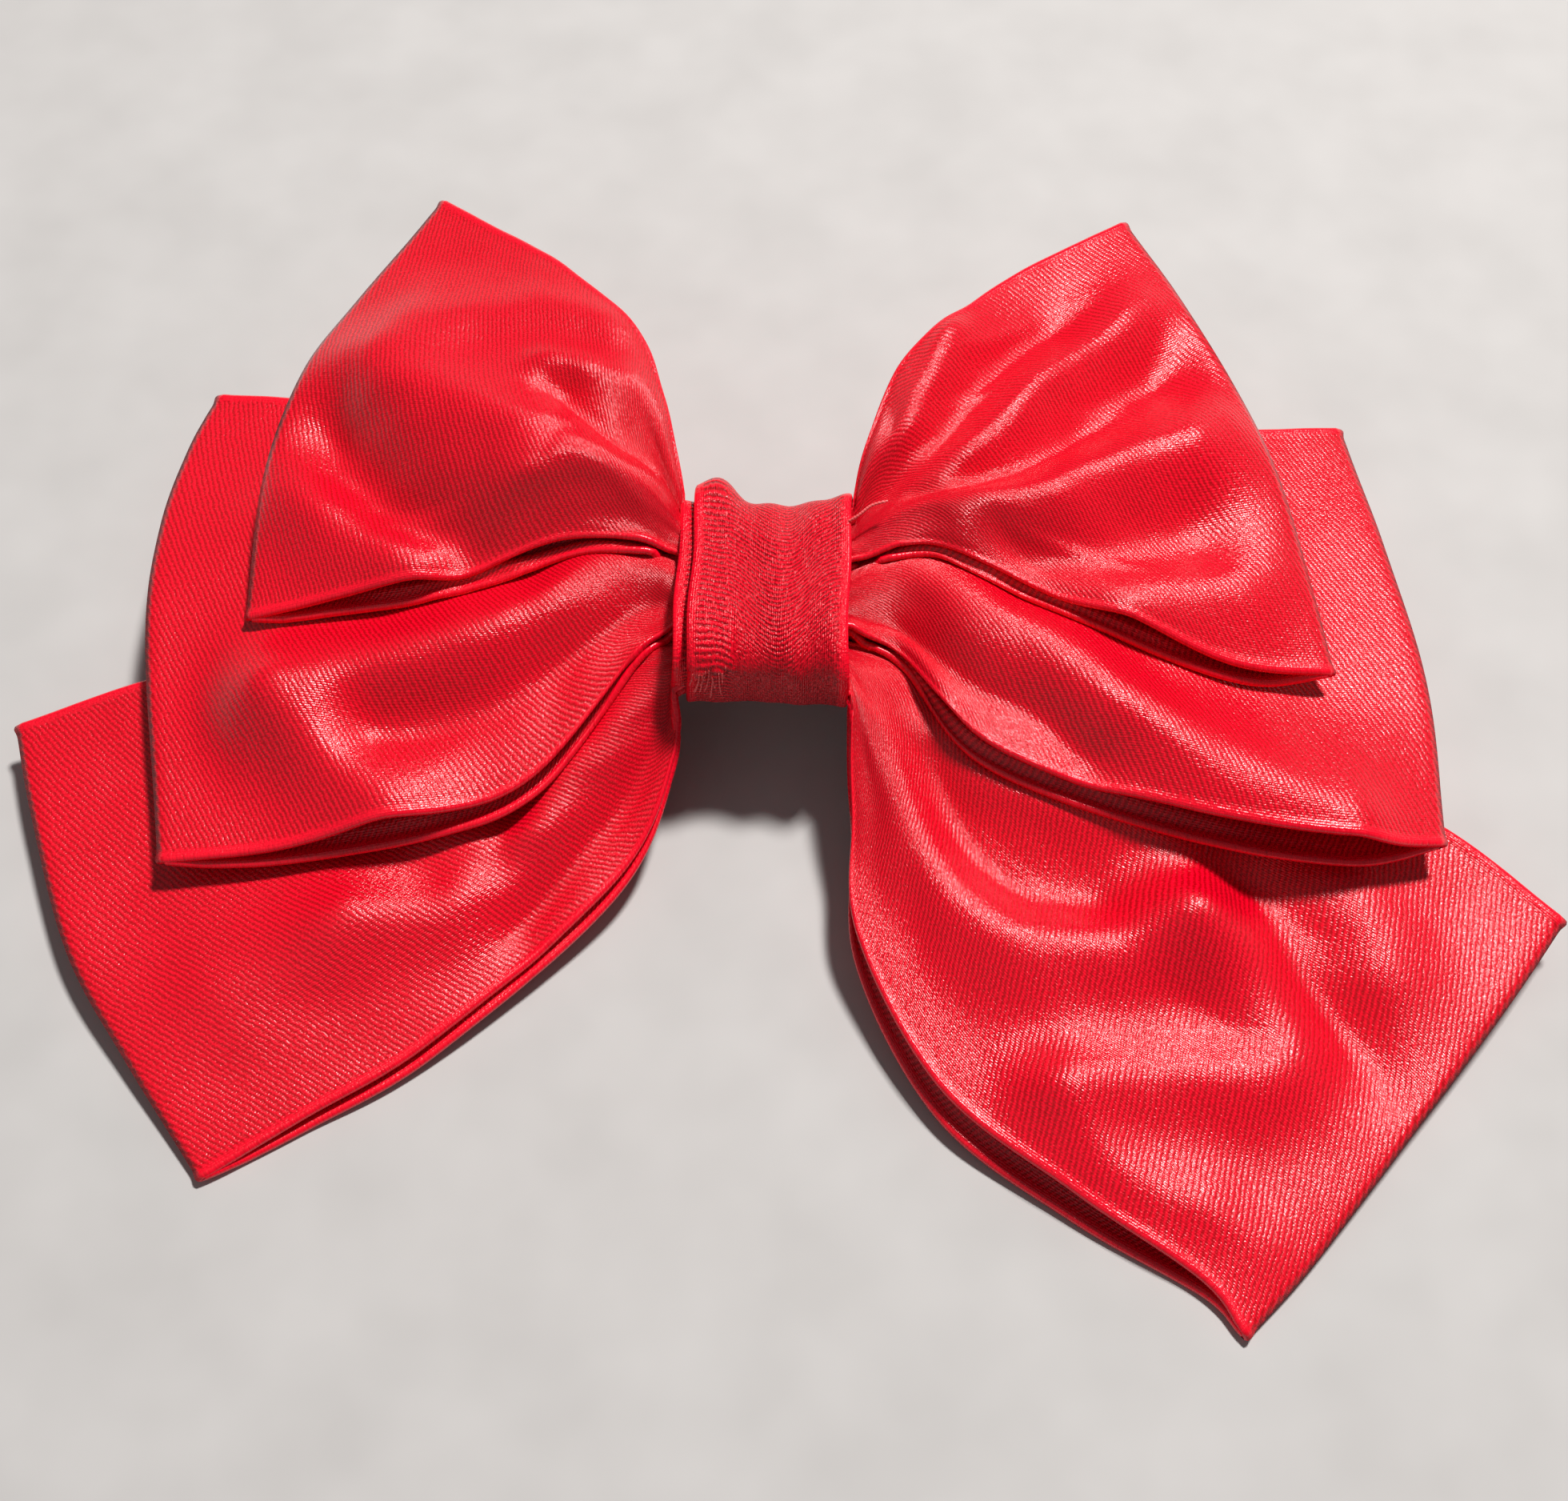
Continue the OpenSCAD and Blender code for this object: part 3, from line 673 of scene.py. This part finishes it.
def outer_relief(x, s, run):
    """What the outer turn has besides: the hem folded over on its left, the puckers and the raised ear."""
    far = FAR * run[-1]
    narrowed = HEM_NARROWING * smooth_step(*HEM_NARROWS, s)
    hem = 1 - smooth_step(HEM_WIDTH - 0.4, HEM_WIDTH + 0.6 + narrowed, x - BAND_LOW + narrowed)
    hem *= 1 - 0.5 * smooth_step(*HEM_NARROWS, s)
    hem *= smooth_step(0, 1.2, s - hem_end(run, x)) * (1 - smooth_step(far + 2, far + 6, s))
    rise = hem + lines_relief(x, s, BAND_FOLDS)
    rise += 2.3 * bell(x, BAND_LOW + 2.4, 2.2) * bell(s, far - 1, 4.5)
    return rise + 0.5 * bell(x, BAND_HIGH - 0.8, 1.8) * bell(s, far - 1, 4)


def wound_band(name, x_low, x_high, inset, outer):
    """One turn of the knot band, its length and, for the outer turn, where its hem ends."""
    line, run = knot_loop(inset)
    xs = np.linspace(x_low, x_high, int((x_high - x_low) / BAND_STEP) + 1)
    s, x = np.meshgrid(run, xs, indexing="ij")
    middle = (x_low + x_high) / 2
    across = (x - middle) / ((x_high - x_low) / 2)
    along = np.gradient(line, axis=0)
    along[0] = along[-1] = line[1] - line[-2]
    out = np.stack([-along[:, 1], along[:, 0]], axis=1)
    out /= np.linalg.norm(out, axis=1, keepdims=True)
    rise = turn_relief(x, s, across, run[-1])
    if outer:
        rise += outer_relief(x, s, run)
    # the pull of the knot narrows the band at its top and draws the weave along its middle
    squeezed = 1 - 0.035 * bell(s, TOP * run[-1], 12) - 0.02 * bell(s, NEAR * run[-1], 6)
    grid = np.empty(x.shape + (3,))
    grid[..., 0] = middle + (x - middle) * squeezed + 0.15 * np.sin(0.35 * s) * np.abs(across) ** 3
    grid[..., 1] = line[:, None, 0] + rise * out[:, None, 0]
    grid[..., 2] = line[:, None, 1] + rise * out[:, None, 1]
    grid[-1] = grid[0]
    slant = 5.5 * bell(xs, 2.5, 4.8) - 0.3 * bell(xs, -7, 3)
    obj = ribbon_solid(name, grid, run, xs - x_low, fabric=BAND_T, bead=BAND_BEAD, skew=slant)
    return obj, run[-1], (grid, out, hem_row(run, xs)) if outer else None


def tube(name, line_mm, radius_mm, sides=6):
    """A thread: a round tube along a line, closed at both ends."""
    line = np.asarray(line_mm, float)
    ahead = np.gradient(line, axis=0)
    ahead /= np.maximum(np.linalg.norm(ahead, axis=1, keepdims=True), 1e-9)
    side = np.cross(ahead[0], (0.3, 0.2, 0.93))
    side /= np.linalg.norm(side)
    rings, faces = [], []
    for k, (p, d) in enumerate(zip(line, ahead)):
        side = side - d * side.dot(d)
        side /= np.linalg.norm(side)
        up = np.cross(d, side)
        angles = 2 * math.pi * np.arange(sides) / sides
        r = radius_mm * (0.45 if k in (0, len(line) - 1) else 1)
        rings.append(p + r * (np.cos(angles)[:, None] * side + np.sin(angles)[:, None] * up))
    for k in range(len(line) - 1):
        for j in range(sides):
            a, b = k * sides + j, k * sides + (j + 1) % sides
            faces.append((a, b, b + sides, a + sides))
    faces.append(tuple(reversed(range(sides))))
    faces.append(tuple(range((len(line) - 1) * sides, len(line) * sides)))
    obj = mesh_object(name, np.concatenate(rings), faces)
    for p in obj.data.polygons:
        p.use_smooth = True
    return obj


def join(name, objects):
    """One object from several; the first one's mesh takes the others in."""
    first = objects[0]
    with bpy.context.temp_override(active_object=first, selected_editable_objects=objects, object=first):
        bpy.ops.object.join()
    first.name = first.data.name = name
    return first


THREAD_R, FIBRE_R, LOOSE_R = 0.3, 0.1, 0.2     # radii of the sewing thread, a fibre and the loose thread
WINDINGS, TURN_STEPS = 5, 48         # turns of the sewing thread, and points to a turn
FIBRES = 12
FIBRE_OFF = 0.38      # a fibre's distance from the middle of the band's ply, at the hem


def gather_winding(tier):
    """Sewing thread wound round a tier's waist inside the knot."""
    mid, half = middle_and_half(tier + "_gather_thread")
    turns = []
    steps = TURN_STEPS * WINDINGS
    for k in range(steps + 1):
        angle = 2 * math.pi * k / TURN_STEPS
        c, s = math.cos(angle), math.sin(angle)
        r = (abs(c / (half[1] - THREAD_R)) ** 4 + abs(s / (half[2] - THREAD_R)) ** 4) ** -0.25
        drift = (k / steps - 0.5) * 2 * (half[0] - THREAD_R)
        y, z = mid[1] + r * c, mid[2] + r * s
        y, z = y + (KNOT_MID[1] - y) * WAIST_SQUEEZE, z + (KNOT_MID[2] - z) * WAIST_SQUEEZE
        turns.append((mid[0] + drift + 0.12 * math.sin(3 * angle), y, z))
    return tube(tier + "_thread_winding", turns, THREAD_R)


def frayed_threads(grid, out, rows):
    """Fibres at the hem's torn end and one loose thread by the wing on the right."""
    pieces = []
    for k in range(FIBRES):
        column = 1 + round(0.8 * k) + int(rng.integers(0, 2))
        row = rows[column] + 2
        reach = int(rng.integers(5, 14))
        sway, lift = rng.uniform(-0.9, 0.9), rng.uniform(0.3, 1.0)
        line = []
        for t in np.linspace(0, 1, 9):
            place = row - reach * t
            point = lerp(grid[int(place), column], grid[int(place) + 1, column], place - int(place))
            away = FIBRE_OFF + lift * t ** 2
            line.append(point + np.array([sway * t ** 2, away * out[row, 0], away * out[row, 1]]))
        pieces.append(tube("fibre", line, FIBRE_R, 5))
    x1, y1, z1 = KNOT_HIGH[0] - 0.8, KNOT_HIGH[1] - 5.4, KNOT_HIGH[2] + 0.3
    loose = spline([(x1, y1, z1), (x1 + 1.6, y1 + 0.3, z1 + 1.3), (x1 + 3.4, y1 + 1.2, z1 + 2.5),
                    (x1 + 5.6, y1 + 1.4, z1 + 3.4)], 16)
    pieces.append(tube("loose", loose, LOOSE_R))
    return join("frayed_threads", pieces)


# ------------------------------------------------------------------ tension spring

LEAF_LOW, LEAF_HIGH = box_mm("tension_spring")
LEAF_T = 0.4          # its thickness
LEAF_CORNER = 2.0     # plan radius of the leaf's corners
LEAF_ROUND = 0.12     # radius of its long edges


def spring_leaf(name, side):
    """Half of the bowed leaf, from the crown to the end that a keeper holds."""
    half, half_w = LEAF_HIGH[0], (LEAF_HIGH[1] - LEAF_LOW[1]) / 2
    sag = LEAF_HIGH[2] - LEAF_LOW[2] - LEAF_T
    corner = np.sin(np.linspace(0, math.pi / 2, 9))[1:] * LEAF_CORNER
    run = np.concatenate([np.linspace(0, half - LEAF_CORNER, 32), half - LEAF_CORNER + corner])
    rings = []
    for x in run:
        past = max(0, x - (half - LEAF_CORNER))
        wide = half_w - LEAF_CORNER + math.sqrt(LEAF_CORNER ** 2 - min(past, LEAF_CORNER) ** 2)
        slope = 2 * sag * x / half ** 2
        up = np.array([-side * slope, 0, 1]) / math.hypot(1, slope)
        middle = np.array([side * x, 0, LEAF_LOW[2] + LEAF_T / 2 + sag * (x / half) ** 2])
        for quarter in range(4):
            across = 1 if quarter in (0, 3) else -1
            above = 1 if quarter < 2 else -1
            for a in np.radians(90 * quarter + np.array([5, 45, 85])):
                y = across * (wide - LEAF_ROUND) + LEAF_ROUND * math.cos(a)
                z = above * (LEAF_T / 2 - LEAF_ROUND) + LEAF_ROUND * math.sin(a)
                rings.append(middle + np.array([0, y, 0]) + z * up)
    around = len(rings) // len(run)
    faces = [(k * around + j, k * around + (j + 1) % around, (k + 1) * around + (j + 1) % around,
              (k + 1) * around + j) for k in range(len(run) - 1) for j in range(around)]
    faces.append(tuple(range(len(rings) - around, len(rings))))       # the crown, where halves meet, is open
    obj = mesh_object(name, rings, faces)
    shell = bmesh.new()
    shell.from_mesh(obj.data)
    bmesh.ops.recalc_face_normals(shell, faces=shell.faces)
    shell.to_mesh(obj.data)
    shell.free()
    for p in obj.data.polygons:
        p.use_smooth = len(p.vertices) == 4
    return obj


# ------------------------------------------------------------------ materials

class Nodes:
    """Short calls for building a node material."""

    def __init__(self, name):
        self.material = bpy.data.materials.new(name)
        self.material.use_nodes = True
        self.tree = self.material.node_tree
        self.shader = self.tree.nodes["Principled BSDF"]

    def add(self, kind, **values):
        """A node with these settings; an input's spaces are written as underlines."""
        node = self.tree.nodes.new(kind)
        for key, value in values.items():
            if hasattr(node, key):
                setattr(node, key, value)
            else:
                node.inputs[key.replace("_", " ")].default_value = value
        return node

    def link(self, a, out, b, socket):
        self.tree.links.new(a.outputs[out], b.inputs[socket])

    def math(self, operation, a, b=None, c=None):
        node = self.tree.nodes.new("ShaderNodeMath")
        node.operation = operation
        for k, x in enumerate((a, b, c)):
            if x is None:
                continue
            if isinstance(x, (int, float)):
                node.inputs[k].default_value = x
            else:
                self.tree.links.new(x, node.inputs[k])
        return node.outputs[0]

    def ramp(self, value, stops):
        node = self.tree.nodes.new("ShaderNodeValToRGB")
        elements = node.color_ramp.elements
        while len(elements) < len(stops):
            elements.new(0.5)
        for element, (position, colour) in zip(elements, stops):
            element.position = position
            element.color = (*colour, 1)
        self.tree.links.new(value, node.inputs[0])
        return node.outputs[0]

    def span(self, value, low, high):
        """0 up to low, 1 from high on, and even between them."""
        node = self.add("ShaderNodeMapRange", From_Min=low, From_Max=high)
        self.tree.links.new(value, node.inputs["Value"])
        return node.outputs["Result"]

    def noise(self, source, out, scale, detail=2):
        node = self.add("ShaderNodeTexNoise", Scale=scale, Detail=detail)
        self.link(source, out, node, "Vector")
        return node.outputs["Fac"]

    def wave(self, source, out, direction, scale, distortion, **values):
        node = self.add("ShaderNodeTexWave", wave_type="BANDS", bands_direction=direction,
                        Scale=scale, Distortion=distortion, **values)
        self.link(source, out, node, "Vector")
        return node.outputs["Fac"]

    def twill(self, uv, angle, pitch):
        """Wavering woven lines across the ribbon."""
        turn = self.add("ShaderNodeMapping", Rotation=(0, 0, math.radians(angle)))
        self.link(uv, "UV", turn, "Vector")
        return self.wave(turn, "Vector", "X", wave_scale(pitch), 2.6, Detail=3, Detail_Scale=1.2)

    def bump(self, height, strength, distance_mm):
        node = self.add("ShaderNodeBump", Strength=strength, Distance=distance_mm * MM)
        self.tree.links.new(height, node.inputs["Height"])
        self.link(node, "Normal", self.shader, "Normal")

    def shade(self, socket, value):
        self.tree.links.new(value, self.shader.inputs[socket])

    def set(self, **values):
        for key, value in values.items():
            self.shader.inputs[key.replace("_", " ")].default_value = value


def wave_scale(pitch):
    """The scale of a wave texture whose lines lie this many mm apart on the ribbon."""
    return 2 * math.pi / 20 / (pitch * UV_SCALE)


PLAIN_TONE = 0.45     # of the band's near face, between the weave's dark and light
WEAVE_DEEP, BAND_WEAVE_DEEP = 0.06, 0.10     # heights of the bump in mm
WARP_PITCH = 0.45     # pitch of the threads across the twill, against the twill's own


def satin(name, width, deep, bright, roughness, gloss, weave_bump, twill_angle, pitch, hem=None):
    """Satin with fine twill lines and a plain rolled edge painted bright as a highlight, for a ribbon of
    this width in mm.

    deep and bright are the colours that the weave runs between. hem gives the knot band's second weave:
    the hem's far edge in mm, its twill's angle and pitch, and the two lengths round the band between
    which the plain near face turns into twill."""
    n = Nodes(name)
    uv = n.add("ShaderNodeUVMap", uv_map="ribbon")
    parts = n.add("ShaderNodeSeparateXYZ")
    n.link(uv, "UV", parts, "Vector")
    along, across = parts.outputs["X"], parts.outputs["Y"]
    from_middle = n.math("ABSOLUTE", n.math("SUBTRACT", across, width / 2 * UV_SCALE))
    edge = n.span(from_middle, (width / 2 - 1.2) * UV_SCALE, (width / 2 - 0.6) * UV_SCALE)
    inside = n.math("SUBTRACT", 1.0, edge)
    threads = n.wave(uv, "UV", "Y", wave_scale(WARP_PITCH * pitch), 0.8)
    blotch = n.noise(uv, "UV", 6, 4)
    grain = n.noise(uv, "UV", 260)
    weave = n.math("MULTIPLY", n.twill(uv, twill_angle, pitch), inside)
    if hem:
        hem_width, hem_angle, hem_pitch, plain, woven = hem
        narrows = n.span(along, HEM_NARROWS[0] * UV_SCALE, HEM_NARROWS[1] * UV_SCALE)
        narrowed = n.math("MULTIPLY_ADD", narrows, HEM_NARROWING * UV_SCALE, across)
        beyond = n.span(narrowed, (hem_width - 0.4) * UV_SCALE, (hem_width + 0.2) * UV_SCALE)
        wavering = n.math("MULTIPLY_ADD", blotch, 0.08, along)
        twilled = n.span(wavering, plain * UV_SCALE + 0.04, woven * UV_SCALE + 0.04)
        field = n.math("MULTIPLY_ADD", n.math("SUBTRACT", weave, PLAIN_TONE), twilled, PLAIN_TONE)
        folded = n.math("MULTIPLY", n.twill(uv, hem_angle, hem_pitch), n.math("SUBTRACT", inside, beyond))
        weave = n.math("MULTIPLY_ADD", field, beyond, n.math("MAXIMUM", folded, 0.0))
    # the colour follows the weave, with single yarns brighter or darker, broad soft patches and a painted
    # highlight along the rolled edge
    weave_and_edge_highlight = n.math("MULTIPLY_ADD", edge, 0.9, weave)
    speckle = n.math("MULTIPLY_ADD", grain, 1.6, -0.85)
    mixed = n.math("MULTIPLY_ADD", weave_and_edge_highlight, 0.75, speckle)
    tone = n.math("MULTIPLY_ADD", blotch, 0.35, mixed)
    n.shade("Base Color", n.ramp(tone, [(0.15, deep), (0.85, bright)]))
    n.shade("Roughness", n.math("MULTIPLY_ADD", grain, 0.12, roughness - 0.06))
    # so does the relief, with finer threads across it and the yarns' grain
    height = n.math("MULTIPLY_ADD", threads, 0.5, weave_and_edge_highlight)
    height = n.math("MULTIPLY_ADD", grain, 2.6, height)
    n.bump(height, weave_bump, BAND_WEAVE_DEEP if hem else WEAVE_DEEP)
    n.set(Anisotropic=0.5, Sheen_Weight=0.02, Sheen_Roughness=0.35, Sheen_Tint=(1.0, 0.35, 0.4, 1),
          Specular_IOR_Level=gloss, Specular_Tint=(1.0, 0.50 * gloss, 0.52 * gloss, 1))
    tangent = n.add("ShaderNodeTangent", direction_type="UV_MAP", uv_map="ribbon")
    n.link(tangent, "Tangent", n.shader, "Tangent")
    return n.material


def thread_material(name, dark, light):
    n = Nodes(name)
    place = n.add("ShaderNodeTexCoord")
    twist = n.wave(place, "Object", "DIAGONAL", 900, 1.5)
    n.shade("Base Color", n.ramp(twist, [(0.1, dark), (0.9, light)]))
    n.bump(twist, 0.6, 0.03)
    n.set(Roughness=0.5)
    return n.material


SCRATCHES = (60, 900, 900)     # how finely the scratches lie: long ones, along the clip


def metal(name, colour, roughness, scratch):
    n = Nodes(name)
    place = n.add("ShaderNodeTexCoord")
    stretch = n.add("ShaderNodeMapping", Scale=SCRATCHES)
    n.link(place, "Object", stretch, "Vector")
    lines = n.noise(stretch, "Vector", 4, 6)
    smudge = n.noise(place, "Object", 180, 5)
    dark = tuple(0.72 * c for c in colour)
    n.shade("Base Color", n.ramp(smudge, [(0.35, dark), (0.6, colour)]))
    n.shade("Roughness", n.math("MULTIPLY_ADD", lines, 0.25, roughness - 0.1))
    n.bump(lines, scratch, 0.02)
    n.set(Metallic=1.0)
    return n.material


def dress(obj, material):
    obj.data.materials.clear()
    obj.data.materials.append(material)
    return obj


SATIN = satin("red_satin", RIBBON_W, (0.46, 0.0001, 0.005), (0.92, 0.0006, 0.020), 0.27, 1.0,
              0.65, 25, 0.74)
BAND_SATIN = satin("band_satin", BAND_HIGH - BAND_LOW, (0.29, 0.0001, 0.004), (0.96, 0.0008, 0.020),
                   0.26, 0.80, 1.0, 8, 0.66, hem=(HEM_WIDTH, 3, 0.82, 26, 33))
THREAD = thread_material("red_thread", (0.35, 0.002, 0.01), (0.75, 0.02, 0.05))
FIBRE = thread_material("loose_fibre", (0.80, 0.05, 0.06), (1.0, 0.20, 0.20))
PLATED = metal("plated_steel", (0.70, 0.69, 0.67), 0.32, 0.25)
SPRING = metal("spring_steel", (0.42, 0.43, 0.46), 0.38, 0.35)


# ------------------------------------------------------------------ the bow

tiers = build_tiers()
for tier, (obj, _) in tiers.items():
    dress(obj, SATIN)
    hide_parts(tier + "_bow")
    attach(obj, "bow")


def build_knot():
    outer, length, hem = wound_band("knot_wrap", BAND_LOW, BAND_HIGH, 0.0, True)
    inner, _, _ = wound_band("knot_under", UNDER_LOW, UNDER_HIGH, UNDER_INSET, False)
    wrap = join("knot_wrap", [outer, inner])
    dress(wrap, BAND_SATIN)
    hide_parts("knot_band")
    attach(wrap, "bow")
    fibres = dress(frayed_threads(*hem), FIBRE)
    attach(fibres, "bow")
    for tier in ("upper", "middle", "lower"):
        winding = dress(gather_winding(tier), THREAD)
        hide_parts(tier + "_gather_thread")
        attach(winding, "bow")


build_knot()

for node in ("base_plate", "hinge_pin", "closing_arm", "clasp_rivet"):
    dress(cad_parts[node], PLATED)
for node in ("clasp", "front_release_tab", "rear_release_tab"):
    dress(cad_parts[node], SPRING)

# the leaf, in two halves that meet at its crown, with its ends where the keepers hold them
for name, side in (("left_spring_leaf", -1), ("right_spring_leaf", 1)):
    leaf = dress(spring_leaf(name, side), SPRING)
    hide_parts("tension_spring")
    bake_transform(leaf)


# ------------------------------------------------------------------ floor, lights and camera

FLOOR = 4000          # half the floor's side, in mm


def floor():
    corners = [(-FLOOR, -FLOOR, 0), (FLOOR, -FLOOR, 0), (FLOOR, FLOOR, 0), (-FLOOR, FLOOR, 0)]
    obj = mesh_object("floor", corners, [(0, 1, 2, 3)])
    n = Nodes("pale_floor")
    place = n.add("ShaderNodeTexCoord")
    mottle = n.noise(place, "Object", 60)
    n.shade("Base Color", n.ramp(mottle, [(0.3, (0.46, 0.45, 0.44)), (0.7, (0.50, 0.49, 0.48))]))
    n.set(Roughness=0.9)
    dress(obj, n.material)


def area_light(name, place, aim, size, power, colour=(1, 1, 1)):
    light = bpy.data.lights.new(name, "AREA")
    light.size, light.energy, light.color = size, power, colour
    obj = bpy.data.objects.new(name, light)
    bpy.context.scene.collection.objects.link(obj)
    obj.location = place
    obj.rotation_euler = (Vector(aim) - Vector(place)).to_track_quat("-Z", "Y").to_euler()


def lights():
    area_light("key", (0.32, 0.40, 1.17), (0, 0, 0), 0.15, 23, (1, 0.97, 0.95))
    area_light("fill", (-0.6, -0.8, 0.9), (0, 0, 0), 1.0, 0.6)
    world = bpy.data.worlds.new("studio")
    world.use_nodes = True
    world.node_tree.nodes["Background"].inputs[0].default_value = (0.9, 0.9, 0.92, 1)
    world.node_tree.nodes["Background"].inputs[1].default_value = 0.14
    bpy.context.scene.world = world
    bpy.context.scene.view_settings.view_transform = "Standard"


ELEVATION, TURN = 60.0, 2.0     # degrees above the floor, and round to the right
DISTANCE = 0.285                # from the aim, in metres
AIM = Vector((0.0029, -0.0103, 0.0))
SENSOR, LENS = 36.0, 45.0


def camera():
    data = bpy.data.cameras.new("camera")
    data.sensor_width, data.lens = SENSOR, LENS
    data.clip_start, data.clip_end = 0.01, 20
    obj = bpy.data.objects.new("camera", data)
    bpy.context.scene.collection.objects.link(obj)
    e, a = math.radians(ELEVATION), math.radians(TURN)
    back = Vector((math.sin(a) * math.cos(e), -math.cos(a) * math.cos(e), math.sin(e)))
    obj.location = AIM + DISTANCE * back
    obj.rotation_euler = (-back).to_track_quat("-Z", "Y").to_euler()
    bpy.context.scene.camera = obj


floor()
lights()
camera()
